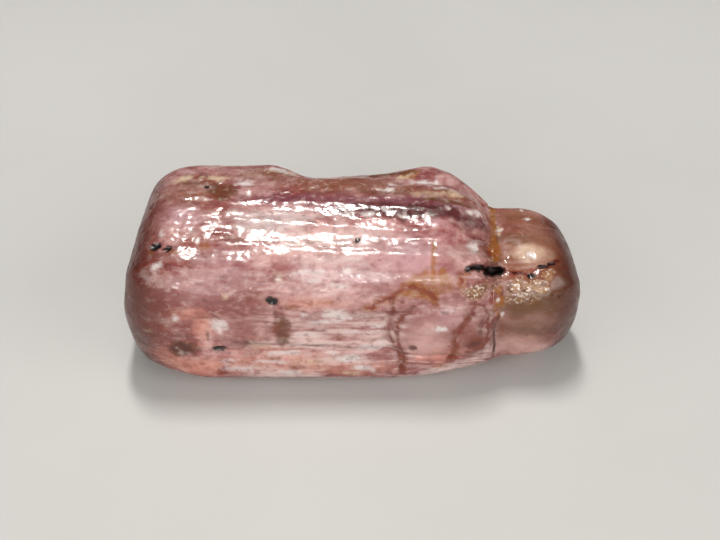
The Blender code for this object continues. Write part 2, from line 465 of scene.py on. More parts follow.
@dataclass(frozen=True)
class SkinRelief:
    """Growth lines, furrows, pits and wear of the skin, in millimetres of height."""

    ledges: tuple[tuple[float, float, float], ...] = (
        (18.0, 0.030, 0.9),
        (30.0, 0.035, -0.6),
        (45.0, 0.030, 0.4),
    )
    ledge_length: float = 6.5
    ledges_stop: float = -7.8
    ledges_run_out: float = 1.4
    ledges_on_dome: float = 0.25
    rest_turn: float = 270.0
    rest_half_width: float = 40.0
    rest_fade: float = 14.0
    bulge: Spot = Spot(3.85, 347.0, 2.35, 1.75, 0.15, ragged=0.0)
    furrow_depth: float = 0.10
    furrow_width: float = 0.16
    step_height: float = 0.040
    streak_height: float = 0.022
    lump_height: float = 0.030
    bruise_depth: float = 0.045
    dents: tuple[Spot, ...] = (
        Spot(-7.90, 52.0, 0.50, 0.25, 0.12, ragged=0.25),
        Spot(-7.10, 341.0, 0.80, 0.50, 0.07, ragged=0.2),
        Spot(-5.60, 104.0, 0.70, 0.55, 0.13, ragged=0.2),
        Spot(4.30, 112.0, 1.10, 0.45, 0.12, ragged=0.2),
        Spot(5.85, 41.0, 0.60, 0.35, 0.22, ragged=0.3),
        Spot(7.60, 40.0, 0.90, 0.30, 0.10, ragged=0.25),
        Spot(-4.60, 196.0, 1.30, 0.90, 0.14, ragged=0.15),
        Spot(1.90, 228.0, 0.90, 0.60, 0.12, ragged=0.15),
    )

    def off_rest(self, skin: Skin) -> Array:
        """0 on the resting face, rising to 1 away from it."""
        off = (np.abs(turns_from(skin.turns, self.rest_turn)) - self.rest_half_width) / self.rest_fade
        return np.clip(off, 0.0, 1.0)

    def ledge_share(self, skin: Skin, waist: float) -> Array:
        """How strongly the growth lines show at each point.

        Args:
            skin: Where to measure.
            waist: Place of the waist in millimetres.

        Returns:
            Shares from 0 to 1.
        """
        left = np.clip((skin.along - self.ledges_stop) / self.ledges_run_out, 0.0, 1.0)
        right = np.clip((10.0 - self.ledges_run_out - skin.along) / self.ledges_run_out, 0.0, 1.0)
        return np.where(skin.along > waist, self.ledges_on_dome * right, left)

    def ledge_height(self, skin: Skin, waist: float) -> Array:
        """Broad ledges that drift along the prism."""
        along = skin.along / self.ledge_length
        height = np.zeros(len(along))
        for spacing, ledge_height, drift in self.ledges:
            phase = math.tau * (skin.turns / spacing + 0.35 * np.sin(along + drift) + 0.2 * drift * along)
            height += ledge_height * np.sin(phase + 0.6 * np.sin(phase))
        return height * self.ledge_share(skin, waist)

    def line_height(self, skin: Skin, waist: float) -> Array:
        """Fine growth lines: long streaks that start and stop, stepped like stacked sheets."""
        streaks = Grain(21).layered(skin.rolled(0.75, 2.0), 2)
        steps = streaks * 3.0
        stepped = (np.floor(steps) + ease(steps - np.floor(steps), 0.25, 0.75)) / 3.0
        fine = Grain(31).at(skin.rolled(1.8, 4.2))
        share = self.ledge_share(skin, waist)
        return share * (self.step_height * stepped + self.streak_height * fine)

    def wear_height(self, skin: Skin, waist: float) -> Array:
        """Soft lumps and small bruises of a stone that rolled in a river."""
        lumps = Grain(41).layered(skin.solid(0.8), 3)
        bruise = Grain(47).layered(skin.solid(3.4), 2)
        ends = 1.0 - 0.7 * self.ledge_share(skin, waist)
        return self.lump_height * lumps - self.bruise_depth * ends * ease(bruise, 0.30, 0.75)

    def bulge_height(self, skin: Skin) -> Array:
        """The smooth bulge on the front and the furrow round it."""
        reach = np.hypot((skin.along - self.bulge.place) / self.bulge.length,
                         skin.across(self.bulge.turn) / self.bulge.width)
        swell = self.bulge.amount * np.clip(1.0 - reach ** 2, 0.0, 1.0)
        return swell - self.furrow_depth * np.exp(-(((reach - 1.08) / self.furrow_width) ** 2))

    def height(self, skin: Skin, waist: float) -> Array:
        """Height of the whole relief in metres.

        Args:
            skin: Where to measure.
            waist: Place of the waist in millimetres.

        Returns:
            One height for each point.
        """
        total = self.ledge_height(skin, waist) + self.line_height(skin, waist) + self.wear_height(skin, waist)
        total = total * self.off_rest(skin) + self.bulge_height(skin)
        for dent in self.dents:
            total -= dent.hollow(skin)
        return total * MM


@dataclass(frozen=True)
class Patch:
    """A spot or a trail in one of the tints."""

    tint: Tint
    shape: "Spot | Trail"


def spots(tint: Tint, rows: Sequence[tuple[float, ...]], ragged: float = 0.6,
          soft: float = 0.3) -> tuple[Patch, ...]:
    """Patches of one tint.

    Args:
        tint: Their tint.
        rows: Place, turn, half length, half width and strength of each, and its slant if it has one.
        ragged: How ragged their edges are.
        soft: How soft their edges are, as a share of their size.

    Returns:
        The patches.
    """
    patches = []
    for number, (place, turn, length, width, amount, *slant) in enumerate(rows):
        seed = 7 + number + 40 * list(Tint).index(tint)
        shape = Spot(place, turn, length, width, amount, ragged, *slant, seed=seed, soft=soft)
        patches.append(Patch(tint, shape))
    return tuple(patches)


@dataclass(frozen=True)
class Flaws:
    """Patches, stains, specks and cracks of the stone, as the photo shows them."""

    pits: tuple[Spot, ...] = (
        Spot(-3.25, 20.0, 0.27, 0.26, 0.22, ragged=0.35, seed=11, soft=0.12),
        Spot(-5.65, 336.0, 0.30, 0.14, 0.12, ragged=0.35, seed=12, soft=0.12),
        Spot(-8.10, 56.0, 0.25, 0.18, 0.12, ragged=0.5, seed=13, soft=0.12),
        Spot(-7.60, 54.0, 0.20, 0.11, 0.08, ragged=0.5, seed=14, soft=0.12),
        Spot(0.30, 61.0, 0.14, 0.13, 0.07, ragged=0.4, seed=15, soft=0.12),
        Spot(-6.20, 106.0, 0.13, 0.12, 0.06, ragged=0.4, seed=17, soft=0.12),
    )
    crack: Trail = Trail(
        ((4.85, 41.0), (5.30, 43.0), (5.70, 42.0), (6.10, 41.0), (6.50, 41.0)), 0.09, ragged=0.8, seed=23)
    crack_run: Trail = Trail(
        ((6.50, 40.0), (6.90, 38.0), (7.30, 38.0), (7.60, 36.0), (8.00, 42.0), (8.25, 44.0), (8.55, 47.0),
         (8.90, 52.0)),
        0.06, 0.85, ragged=1.0, seed=23)
    crack_mouth: tuple[Spot, ...] = (
        Spot(6.05, 40.0, 0.50, 0.30, 1.00, ragged=0.35, seed=24, soft=0.15),
        Spot(5.35, 42.0, 0.45, 0.15, 1.00, ragged=0.35, seed=26, soft=0.15),
        Spot(7.65, 35.0, 0.18, 0.15, 1.00, ragged=0.4, seed=25, soft=0.15),
        Spot(8.15, 44.0, 0.30, 0.12, 1.00, ragged=0.4, seed=27, soft=0.15),
        Spot(8.55, 47.0, 0.20, 0.11, 1.00, ragged=0.4, seed=28, soft=0.15),
    )
    arch: Trail = Trail(
        ((0.80, 15.0), (1.25, 20.0), (1.55, 21.0), (1.90, 25.0), (2.25, 29.0), (2.60, 30.0), (3.00, 29.0),
         (3.30, 26.0), (3.60, 21.0)),
        0.12, ragged=0.9, seed=31)
    bulge_line: Trail = Trail(
        ((1.75, 23.0), (1.85, 13.0), (1.70, 3.0), (1.65, 353.0), (1.75, 344.0), (2.00, 337.0), (2.10, 327.0),
         (2.25, 319.0)),
        0.085, ragged=1.0, seed=33)
    bulge_inner_line: Trail = Trail(
        ((2.65, 14.0), (2.30, 8.0), (2.05, 1.0), (1.95, 351.0), (2.10, 341.0), (2.25, 333.0), (2.30, 321.0)),
        0.075, ragged=1.0, seed=34)
    bulge_right_line: Trail = Trail(
        ((5.30, 15.0), (5.00, 6.0), (4.70, 356.0), (4.45, 347.0), (4.50, 336.0), (4.30, 326.0)),
        0.10, 0.8, ragged=1.0, seed=35)
    bulge_loop: Trail = Trail(
        ((5.30, 16.0), (5.60, 14.0), (5.80, 6.0), (5.90, 351.0), (5.80, 340.0), (5.45, 333.0), (5.00, 335.0)),
        0.08, 0.8, ragged=1.0, seed=39)
    cross_crack: Trail = Trail(
        ((3.50, 58.0), (3.45, 40.0), (3.50, 28.0), (3.50, 17.0)), 0.04, ragged=0.4, seed=36)
    waist_line: Trail = Trail(
        ((6.20, 122.0), (6.20, 112.0), (6.25, 90.0), (6.20, 76.0), (6.15, 65.0), (6.10, 50.0)),
        0.17, 0.80, ragged=1.0, seed=37)
    waist_seam: Trail = Trail(
        ((6.40, 356.0), (6.30, 350.0), (6.20, 340.0), (6.25, 330.0), (6.25, 316.0)), 0.07, 0.9, 0.6, seed=38)
    smooth: tuple[Spot, ...] = (
        Spot(3.90, 347.0, 2.00, 1.55, 0.85, ragged=0.2, soft=0.15),
        Spot(3.00, 45.0, 1.60, 1.10, 0.70, ragged=0.3, soft=0.5),
    )
    broken: tuple[Spot, ...] = (
        Spot(5.30, 26.0, 0.70, 0.40, 0.95, ragged=0.8, seed=65),
        Spot(7.00, 26.0, 0.50, 0.50, 0.95, ragged=0.7, seed=66),
        Spot(7.85, 26.0, 0.65, 0.35, 0.90, ragged=0.8, seed=67),
        Spot(8.40, 36.0, 0.25, 0.40, 0.75, ragged=0.7, seed=68),
        Spot(7.40, 16.0, 0.75, 0.30, 0.45, ragged=0.9, seed=69),
    )
    bruise_slope: float = 0.29
    mouth_slope: float = 0.7
    crack_depth: float = 0.08
    crack_run_depth: float = 0.05
    broken_depth: float = 0.07

    def zones(self) -> tuple[Patch, ...]:
        """Broad zones of colour, from the left end to the right; some are painted highlight haze, glow, shade
        and dark reflections.
        """
        return (
            # WHITE rows: painted highlight haze where the skin glints, from the top edge down the front.
            *spots(Tint.WHITE, ((-3.00, 78.0, 2.40, 0.40, 0.55), (-0.60, 62.0, 3.00, 0.45, 0.55),
                                (-3.60, 70.0, 1.30, 0.35, 0.60), (-0.60, 46.0, 1.50, 0.35, 0.60),
                                (0.20, 38.0, 1.20, 0.30, 0.55), (-0.30, 10.0, 1.10, 0.25, 0.45)), 0.8, 0.6),
            # ROSE rows: rose-brown tone; the rows at -8.60, -8.80 and 9.20 mm paint the dark rims of the
            # ends, painted shade of dark surroundings seen through the edges.
            *spots(Tint.ROSE, ((-6.60, 15.0, 2.60, 2.10, 0.60), (-5.80, 58.0, 2.20, 1.00, 0.60),
                               (-8.60, 20.0, 1.25, 2.20, 0.90), (-8.80, 80.0, 1.00, 2.60, 0.80),
                               (-6.40, 90.0, 1.30, 0.70, 0.65), (-5.40, 80.0, 0.45, 0.40, 0.60),
                               (-6.60, 50.0, 1.50, 1.00, 0.35), (-7.60, 42.0, 1.10, 0.60, 0.60),
                               (-4.80, 25.0, 1.60, 1.10, 0.60), (-4.50, 352.0, 1.20, 0.60, 0.45),
                               (-6.50, 200.0, 2.00, 2.00, 0.40), (9.20, 40.0, 0.70, 3.00, 0.70),
                               (0.60, 12.0, 1.20, 0.30, 0.35)), 0.4, 0.7),
            *spots(Tint.TAN, ((-0.20, 108.0, 2.80, 0.75, 0.85), (3.90, 101.0, 1.60, 0.45, 0.80),
                              (-3.60, 118.0, 1.40, 0.50, 0.75), (-6.80, 103.0, 1.30, 0.70, 0.70),
                              (8.00, 60.0, 2.20, 3.20, 0.90), (7.50, 110.0, 1.30, 0.90, 0.85),
                              (7.60, 335.0, 1.40, 1.10, 0.65), (2.00, 190.0, 3.50, 2.00, 0.30)), 0.4, 0.7),
            *spots(Tint.OLIVE, ((7.90, 10.0, 1.70, 1.00, 0.90), (9.30, 15.0, 0.70, 2.20, 0.85),
                                (7.20, 4.0, 0.90, 0.60, 0.75), (7.90, 345.0, 1.50, 1.00, 0.65)), 0.4, 0.6),
            # MAUVE and WINE rows near the top paint a dark band, a painted reflection of dark surroundings;
            # the MAUVE row at 245 degrees is the stone's own tone.
            *spots(Tint.MAUVE, ((2.10, 90.0, 3.60, 0.50, 0.90), (-2.60, 94.0, 2.20, 0.40, 0.85),
                                (-0.40, 88.0, 1.80, 0.30, 0.65),
                                (1.00, 245.0, 6.00, 1.40, 0.35)), 0.5, 0.6),
            *spots(Tint.WINE, ((3.10, 82.0, 2.40, 0.40, 1.00), (1.20, 84.0, 1.60, 0.35, 1.00),
                               (5.20, 78.0, 0.90, 0.55, 0.80), (5.35, 63.0, 0.55, 0.40, 0.55)), 0.7, 0.5),
            *spots(Tint.LILAC, ((-0.50, 36.0, 1.60, 0.80, 0.60), (2.10, 50.0, 1.60, 0.85, 0.75),
                                (-7.10, 78.0, 0.80, 0.55, 0.70), (-6.10, 30.0, 1.50, 0.90, 0.30),
                                (3.60, 74.0, 0.50, 0.20, 0.70), (-5.00, 45.0, 1.20, 0.60, 0.40),
                                (4.10, 5.0, 0.60, 0.50, 0.60)), 0.4, 0.7),
            # BLUSH rows: pale pink tone with painted glow where light shines through the front, the bulge and
            # the knob; the row at 56 degrees is painted highlight haze.
            *spots(Tint.BLUSH, ((-1.00, 345.0, 3.60, 1.30, 0.30), (-0.80, 24.0, 2.00, 0.70, 0.45),
                                (-1.20, 56.0, 3.00, 0.90, 0.55), (7.30, 326.0, 1.10, 0.45, 0.40),
                                (-6.20, 347.0, 0.30, 0.75, 0.85), (-5.60, 0.0, 0.40, 0.40, 0.50),
                                (8.30, 318.0, 0.90, 0.40, 0.55), (3.20, 345.0, 1.10, 1.00, 0.55),
                                (7.80, 55.0, 0.75, 0.75, 0.40), (4.80, 50.0, 0.70, 0.60, 0.50)), 0.4, 0.7),
            *spots(Tint.UMBER, ((4.60, 342.0, 1.30, 1.20, 0.30), (8.40, 45.0, 1.20, 0.60, 0.35)), 0.4, 0.6),
            *spots(Tint.SALMON, ((-7.00, 322.0, 1.80, 0.45, 0.80), (-6.30, 354.0, 0.40, 0.85, 0.80),
                                 (-6.80, 8.0, 0.70, 0.40, 0.60), (-3.40, 326.0, 2.60, 0.55, 0.65),
                                 (-0.20, 321.0, 2.60, 0.30, 0.60), (-1.70, 19.0, 1.40, 0.30, 0.55),
                                 (3.90, 330.0, 1.20, 0.50, 0.50),
                                 (-8.20, 330.0, 0.80, 0.80, 0.60)), 0.5, 0.6),
        )

    def stains_and_painted_reflection(self) -> tuple[Patch, ...]:
        """Iron stains along the cracks and on the ledges, and one painted reflection on a facet near the top
        left.
        """
        return (
            *spots(Tint.UMBER, ((-2.95, 356.0, 0.45, 1.00, 0.90), (5.35, 350.0, 0.85, 1.20, 0.55),
                                (5.45, 342.0, 0.40, 0.35, 0.75), (5.80, 32.0, 0.55, 0.35, 0.60),
                                (-2.60, 100.0, 1.00, 0.20, 0.50), (-4.40, 338.0, 0.60, 0.50, 0.40),
                                (-1.45, 353.0, 0.35, 0.12, 0.60), (-0.50, 346.0, 0.45, 0.11, 0.60),
                                (-3.30, 328.0, 0.30, 0.11, 0.60), (-2.30, 322.0, 0.45, 0.11, 0.50),
                                (1.00, 344.0, 0.60, 0.10, 0.45)), 0.6, 0.4),
            *spots(Tint.OCHRE, ((3.35, 32.0, 1.00, 0.60, 0.60), (3.85, 37.0, 0.20, 0.35, 0.85),
                                (3.10, 38.0, 0.20, 0.25, 0.55), (2.75, 34.0, 0.18, 0.30, 0.50),
                                (3.55, 21.0, 0.12, 0.35, 0.80), (-2.55, 16.0, 0.35, 0.16, 0.65),
                                (2.95, 26.0, 0.65, 0.25, 0.90), (2.25, 26.0, 0.35, 0.18, 0.85),
                                (-1.70, 19.0, 0.30, 0.09, 0.55), (-0.95, 20.0, 0.30, 0.09, 0.45),
                                (-6.05, 56.0, 0.30, 0.16, 0.45), (-8.25, 52.0, 0.20, 0.10, 0.70),
                                (-7.10, 52.0, 0.60, 0.12, 0.45), (2.60, 119.0, 0.40, 0.25, 0.95),
                                (4.50, 336.0, 0.16, 0.60, 0.60), (3.90, 320.0, 0.40, 0.16, 0.75),
                                (6.10, 60.0, 0.25, 0.85, 0.85), (6.15, 92.0, 0.16, 0.60, 0.75),
                                (6.25, 24.0, 0.20, 0.30, 0.95), (6.30, 12.0, 0.25, 0.50, 0.90),
                                (6.35, 356.0, 0.16, 0.45, 0.85), (4.65, 34.0, 0.30, 0.45, 0.65),
                                (6.20, 112.0, 0.12, 0.40, 0.80)), 0.8),
            # OLIVE rows: iron stains, except the row at -5.50 mm, 102 degrees, a facet painted with the dark
            # surroundings it reflects: painted reflection.
            *spots(Tint.OLIVE, ((-2.85, 352.0, 0.35, 0.90, 0.70), (-7.15, 336.0, 0.70, 0.45, 0.90),
                                (-5.50, 102.0, 0.70, 0.50, 0.80), (4.10, 93.0, 1.15, 0.12, 0.95),
                                (-6.90, 109.0, 0.80, 0.07, 0.80), (-1.60, 121.0, 1.30, 0.20, 0.75),
                                (0.90, 121.0, 2.00, 0.16, 0.85), (7.00, 76.0, 0.90, 0.50, 0.40),
                                (-7.30, 55.0, 0.20, 0.06, 0.80), (6.15, 74.0, 0.20, 0.55, 0.70),
                                (6.05, 50.0, 0.25, 0.30, 0.70), (8.00, 14.0, 1.30, 0.50, 0.80),
                                (1.60, 100.0, 1.40, 0.16, 0.60))),
            *spots(Tint.RUST, ((6.05, 56.0, 0.25, 0.25, 1.00), (6.85, 37.0, 0.18, 0.12, 0.90),
                               (7.15, 39.0, 0.16, 0.12, 0.80), (7.45, 37.0, 0.16, 0.12, 0.85),
                               (7.70, 41.0, 0.14, 0.10, 0.75), (4.65, 34.0, 0.20, 0.25, 0.65),
                               (8.85, 51.0, 0.12, 0.12, 0.80), (2.15, 20.0, 0.10, 0.10, 0.80),
                               (-5.65, 318.0, 0.35, 0.16, 0.75), (-2.80, 15.0, 0.20, 0.14, 0.65),
                               (-1.90, 12.0, 0.16, 0.10, 0.60), (-0.60, 14.0, 0.14, 0.08, 0.60),
                               (3.00, 27.0, 0.25, 0.12, 0.80), (3.60, 15.0, 0.20, 0.20, 0.65),
                               (6.20, 355.0, 0.10, 0.25, 0.70), (6.00, 18.0, 0.14, 0.30, 0.70)), 0.8),
            *spots(Tint.BROWN, ((-7.15, 336.0, 0.55, 0.35, 0.85), (-7.30, 348.0, 0.50, 0.09, 0.60),
                                (-6.10, 348.0, 0.08, 0.40, 0.55), (-4.45, 343.0, 0.20, 0.13, 0.70),
                                (5.30, 341.0, 0.30, 0.20, 0.60), (5.55, 356.0, 0.10, 0.50, 0.55),
                                (-3.15, 9.0, 0.08, 0.40, 0.60), (4.00, 11.0, 0.20, 0.10, 0.60),
                                (-6.30, 32.0, 0.18, 0.08, 0.60), (-6.05, 22.0, 0.12, 0.12, 0.50),
                                (-6.60, 67.0, 0.09, 0.10, 0.70), (-5.30, 36.0, 0.09, 0.07, 0.55),
                                (-7.55, 43.0, 0.20, 0.12, 0.60), (5.25, 55.0, 0.18, 0.12, 0.60),
                                (2.70, 339.0, 0.17, 0.19, 0.85), (-1.60, 339.0, 0.60, 0.09, 0.50),
                                (1.10, 339.0, 0.50, 0.09, 0.50)), 0.8),
        )

    def lines(self) -> tuple[Patch, ...]:
        """Healed cracks that the iron has coloured."""
        return (
            Patch(Tint.OCHRE, replace(self.cross_crack, width=0.11, amount=0.65)),
            Patch(Tint.OCHRE, replace(self.arch, width=0.22, amount=0.80)),
            Patch(Tint.RUST, replace(self.arch, amount=0.75)),
            Patch(Tint.UMBER, replace(self.bulge_line, width=0.26, amount=0.65)),
            Patch(Tint.UMBER, replace(self.bulge_inner_line, width=0.20, amount=0.60)),
            Patch(Tint.UMBER, replace(self.bulge_right_line, width=0.26, amount=0.75)),
            *(Patch(Tint.UMBER, replace(line, amount=0.85, ragged=0.7)) for line in
              (self.bulge_line, self.bulge_inner_line, self.bulge_right_line, self.bulge_loop)),
            Patch(Tint.OCHRE, self.waist_line),
            Patch(Tint.BROWN, self.waist_seam),
            Patch(Tint.RUST, replace(self.crack, width=0.15, amount=0.85)),
            Patch(Tint.RUST, replace(self.crack_run, width=0.13, amount=0.80)),
        )

    def streaks(self) -> tuple[Patch, ...]:
        """White streaks low on the front along the growth lines: painted glints."""
        return spots(Tint.WHITE, ((-0.25, 7.0, 0.40, 0.16, 1.00), (-1.20, 2.0, 0.65, 0.11, 0.95),
                                  (-2.80, 332.0, 0.75, 0.11, 0.95), (-0.80, 332.0, 0.30, 0.11, 0.90),
                                  (0.00, 328.0, 0.60, 0.12, 1.00), (0.50, 322.0, 0.40, 0.11, 1.00),
                                  (1.00, 320.0, 0.13, 0.12, 0.90), (-2.60, 318.0, 0.50, 0.10, 0.80),
                                  (1.25, 357.0, 0.35, 0.11, 0.85), (-1.90, 9.0, 0.20, 0.12, 0.80),
                                  (-0.60, 12.0, 0.50, 0.20, 0.50), (-3.50, 326.0, 0.80, 0.10, 0.80),
                                  (-4.85, 320.0, 0.70, 0.10, 0.75), (1.05, 338.0, 0.90, 0.20, 0.70),
                                  (-1.90, 350.0, 0.50, 0.10, 0.50),
                                  (0.30, 352.0, 0.50, 0.10, 0.55)), 0.6, 0.5)

    def bruises_and_glints(self) -> tuple[Patch, ...]:
        """Pale spots and flakes painted as glints, highlights and reflections; the white ones sit in small
        real dents.
        """
        return (
            # CREAM rows: mostly painted highlights and reflections along the top edges, at the knob and above
            # the main pit.
            *spots(Tint.CREAM, ((-7.25, 114.0, 0.40, 0.17, 0.70), (-5.80, 114.0, 0.55, 0.14, 0.70),
                                (2.20, 117.0, 0.35, 0.14, 0.70), (3.60, 98.0, 0.85, 0.20, 0.35),
                                (4.50, 103.0, 0.30, 0.30, 0.60), (-2.95, 35.0, 0.20, 0.25, 0.35),
                                (-5.20, 24.0, 0.16, 0.14, 0.40), (-8.55, 352.0, 0.20, 0.10, 0.80),
                                (-3.85, 338.0, 0.45, 0.25, 0.35), (6.45, 88.0, 0.14, 0.45, 0.60),
                                (7.55, 58.0, 0.75, 0.70, 0.40), (8.00, 24.0, 0.20, 0.16, 0.70),
                                (-3.00, 122.0, 0.80, 0.16, 0.70), (0.00, 318.0, 0.40, 0.10, 0.60),
                                (-1.75, 326.0, 0.60, 0.07, 0.55),
                                (-1.00, 120.0, 0.50, 0.10, 0.50)), 1.0, 0.4),
            # WHITE rows: painted glints, each over a small real dent cut in hollow().
            *spots(Tint.WHITE, ((-4.50, 109.0, 0.35, 0.18, 1.00), (-4.35, 99.0, 0.09, 0.11, 1.00),
                                (-8.00, 43.0, 0.25, 0.12, 1.00, 35.0), (-5.55, 356.0, 0.25, 0.45, 0.85),
                                (-7.90, 65.0, 0.13, 0.16, 0.85), (-6.35, 60.0, 0.13, 0.15, 0.95),
                                (-7.40, 6.0, 0.13, 0.19, 0.85), (-5.25, 326.0, 0.30, 0.15, 0.85, 20.0),
                                (3.80, 357.0, 0.30, 0.12, 1.00), (6.45, 88.0, 0.20, 0.12, 0.75, 35.0),
                                (7.50, 119.0, 0.08, 0.14, 0.75), (7.65, 107.0, 0.18, 0.14, 0.75),
                                (1.75, 108.0, 0.20, 0.15, 1.00), (1.65, 102.0, 0.20, 0.11, 1.00),
                                (3.25, 112.0, 0.70, 0.16, 1.00), (3.85, 106.0, 0.35, 0.15, 0.85),
                                (5.15, 58.0, 0.20, 0.25, 0.90), (0.80, 81.0, 0.25, 0.15, 1.00),
                                (2.20, 79.0, 0.20, 0.15, 1.00), (1.50, 84.0, 0.15, 0.11, 0.90),
                                (7.70, 107.0, 0.08, 0.18, 0.75), (6.50, 358.0, 0.09, 0.20, 1.00),
                                (5.10, 88.0, 0.14, 0.12, 0.90), (5.45, 90.0, 0.18, 0.18, 0.90),
                                (4.20, 87.0, 0.13, 0.11, 0.80), (6.25, 16.0, 0.09, 0.11, 1.00),
                                (7.65, 56.0, 0.16, 0.30, 0.75), (-2.95, 35.0, 0.13, 0.12, 0.90),
                                (-1.60, 39.0, 0.65, 0.11, 0.75), (-1.45, 34.0, 0.35, 0.11, 0.70),
                                (-0.50, 31.0, 0.45, 0.11, 0.75), (-0.15, 40.0, 0.18, 0.11, 0.80),
                                (-0.80, 9.0, 0.45, 0.20, 0.80), (-0.65, 4.0, 0.35, 0.11, 0.70),
                                (-3.10, 123.0, 0.65, 0.12, 1.00)), 0.9, 0.55),
        )

    def specks(self) -> tuple[Patch, ...]:
        """Black grains in the pits and in the mouth of the crack."""
        grains = [replace(pit, amount=1.0) for pit in self.pits]
        dotted = replace(self.crack_run, amount=0.55)
        return tuple(Patch(Tint.BLACK, shape) for shape in (*grains, self.crack, dotted, *self.crack_mouth))

    def tints(self, skin: Skin) -> Array:
        """Colour of the patches at each point, and how far it hides the stone's own.

        Args:
            skin: Where to measure.

        Returns:
            Red, green, blue and cover, the colours already weighted by the cover.
        """
        painted = np.zeros((len(skin.points), 4))
        for patch in (*self.zones(), *self.stains_and_painted_reflection(), *self.streaks(), *self.bruises_and_glints(), *self.lines(),
                      *self.specks()):
            share = np.clip(patch.shape.cover(skin), 0.0, 1.0)[:, None]
            painted = painted * (1.0 - share) + np.array((*patch.tint.value, 1.0)) * share
        return painted

    def wear(self, skin: Skin, kind: Wear) -> Array:
        """How frosted, broken or speckled the skin is at each point; the frosted ends also take a painted
        dark rim.

        Args:
            skin: Where to measure.
            kind: The kind of wear.

        Returns:
            Shares from 0 to 1.
        """
        if kind is Wear.BROKEN:
            return np.max(np.stack([patch.cover(skin) for patch in self.broken]), axis=0)
        if kind is Wear.SPECK:
            grains = np.max(np.stack([patch.shape.cover(skin) for patch in self.specks()]), axis=0)
            return np.clip(grains, 0.0, 1.0)
        if kind is Wear.SMOOTH:
            knob = ease(skin.along, 5.9, 6.5)
            return np.maximum(knob, np.max(np.stack([patch.cover(skin) for patch in self.smooth]), axis=0))
        if kind is Wear.BANDED:
            low = ease(np.abs(turns_from(skin.turns, 330.0)), 55.0, 20.0)
            return low * ease(skin.along, -6.5, -2.5) * (1.0 - self.wear(skin, Wear.SMOOTH))
        # the frosted ends, which also carry the painted dark rim
        wander = 0.35 * Grain(91).layered(skin.solid(0.9))
        return np.maximum(ease(skin.along + wander, -7.3, -9.2), ease(skin.along + wander, 8.0, 9.5))

    def hollow(self, skin: Skin) -> Array:
        """Depth of the pits, bruises, cracks and broken patches, in metres."""
        depth = self.crack_depth * self.crack.hollow(skin)
        depth += self.crack_run_depth * self.crack_run.hollow(skin)
        for pit in self.pits:
            depth += pit.hollow(skin)
        for mouth in self.crack_mouth:
            depth += self.mouth_slope * mouth.width * mouth.hollow(skin)
        for line, share in ((self.bulge_line, 0.035), (self.arch, 0.03), (self.bulge_inner_line, 0.02),
                            (self.bulge_right_line, 0.02), (self.bulge_loop, 0.02), (self.cross_crack, 0.015),
                            (self.waist_seam, 0.05)):
            depth += share * line.hollow(skin)
        # the white painted glints also get small real dents
        for bruise in self.bruises_and_glints():
            if bruise.tint is Tint.WHITE:
                depth += self.bruise_slope * bruise.shape.width * bruise.shape.hollow(skin)
        facets = Grain(71).layered(skin.solid(4.5), 3)
        depth += self.broken_depth * self.wear(skin, Wear.BROKEN) * (0.6 - facets)
        return depth * MM


@dataclass
class NodeBench:
    """Short ways to add and join shader nodes."""

    tree: bpy.types.NodeTree

    def add(self, kind: str, **settings: object) -> bpy.types.Node:
        """A new node with its settings given by name.

        Args:
            kind: Blender's name of the node.
            settings: Values of the node's own settings.

        Returns:
            The node.
        """
        node = self.tree.nodes.new(kind)
        for name, value in settings.items():
            setattr(node, name, value)
        return node

    def feed(self, socket: bpy.types.NodeSocket, source: object) -> None:
        """Link a socket to another one, or set its value."""
        if isinstance(source, bpy.types.NodeSocket):
            self.tree.links.new(source, socket)
        elif isinstance(source, tuple) and len(source) == 3 and socket.type == "RGBA":
            socket.default_value = (*source, 1.0)
        else:
            socket.default_value = source

    def stretched(self, scale: Colour) -> bpy.types.NodeSocket:
        """Object coordinates scaled along X, Y and Z."""
        coordinates = self.add("ShaderNodeTexCoord")
        mapping = self.add("ShaderNodeMapping")
        mapping.inputs["Scale"].default_value = scale
        self.feed(mapping.inputs["Vector"], coordinates.outputs["Object"])
        return mapping.outputs["Vector"]

    def noise(self, scale: Colour, detail: float = 3.0, roughness: float = 0.55) -> bpy.types.NodeSocket:
        """Noise from 0 to 1 with its grains to a metre along X, Y and Z."""
        node = self.add("ShaderNodeTexNoise")
        self.feed(node.inputs["Vector"], self.stretched(scale))
        self.feed(node.inputs["Scale"], 1.0)
        self.feed(node.inputs["Detail"], detail)
        self.feed(node.inputs["Roughness"], roughness)
        return node.outputs["Fac"]

    def worn(self, kind: Wear) -> bpy.types.NodeSocket:
        """How strongly a kind of wear shows, from the mesh."""
        return self.add("ShaderNodeAttribute", attribute_name=kind.value).outputs["Fac"]

    def rise(self, value: bpy.types.NodeSocket, low: float, high: float,
             bottom: float = 0.0, top: float = 1.0) -> bpy.types.NodeSocket:
        """Map a value smoothly from one range to another."""
        node = self.add("ShaderNodeMapRange", interpolation_type="SMOOTHSTEP")
        for name, source in (("Value", value), ("From Min", low), ("From Max", high),
                             ("To Min", bottom), ("To Max", top)):
            self.feed(node.inputs[name], source)
        return node.outputs["Result"]

    def maths(self, operation: str, first: object, second: object) -> bpy.types.NodeSocket:
        """One step of arithmetic."""
        node = self.add("ShaderNodeMath", operation=operation)
        self.feed(node.inputs[0], first)
        self.feed(node.inputs[1], second)
        return node.outputs[0]

    def mix(self, share: object, first: object, second: object, blend: str = "MIX") -> bpy.types.NodeSocket:
        """Mix two colours."""
        node = self.add("ShaderNodeMix", data_type="RGBA", blend_type=blend)
        self.feed(node.inputs["Factor"], share)
        self.feed(node.inputs[6], first)
        self.feed(node.inputs[7], second)
        return node.outputs[2]

    def bump(self, height: bpy.types.NodeSocket, distance: float, strength: float,
             normal: object = None) -> bpy.types.NodeSocket:
        """Bump of a height, on top of an earlier normal if there is one."""
        node = self.add("ShaderNodeBump")
        self.feed(node.inputs["Height"], height)
        self.feed(node.inputs["Distance"], distance)
        self.feed(node.inputs["Strength"], strength)
        if normal is not None:
            self.feed(node.inputs["Normal"], normal)
        return node.outputs["Normal"]


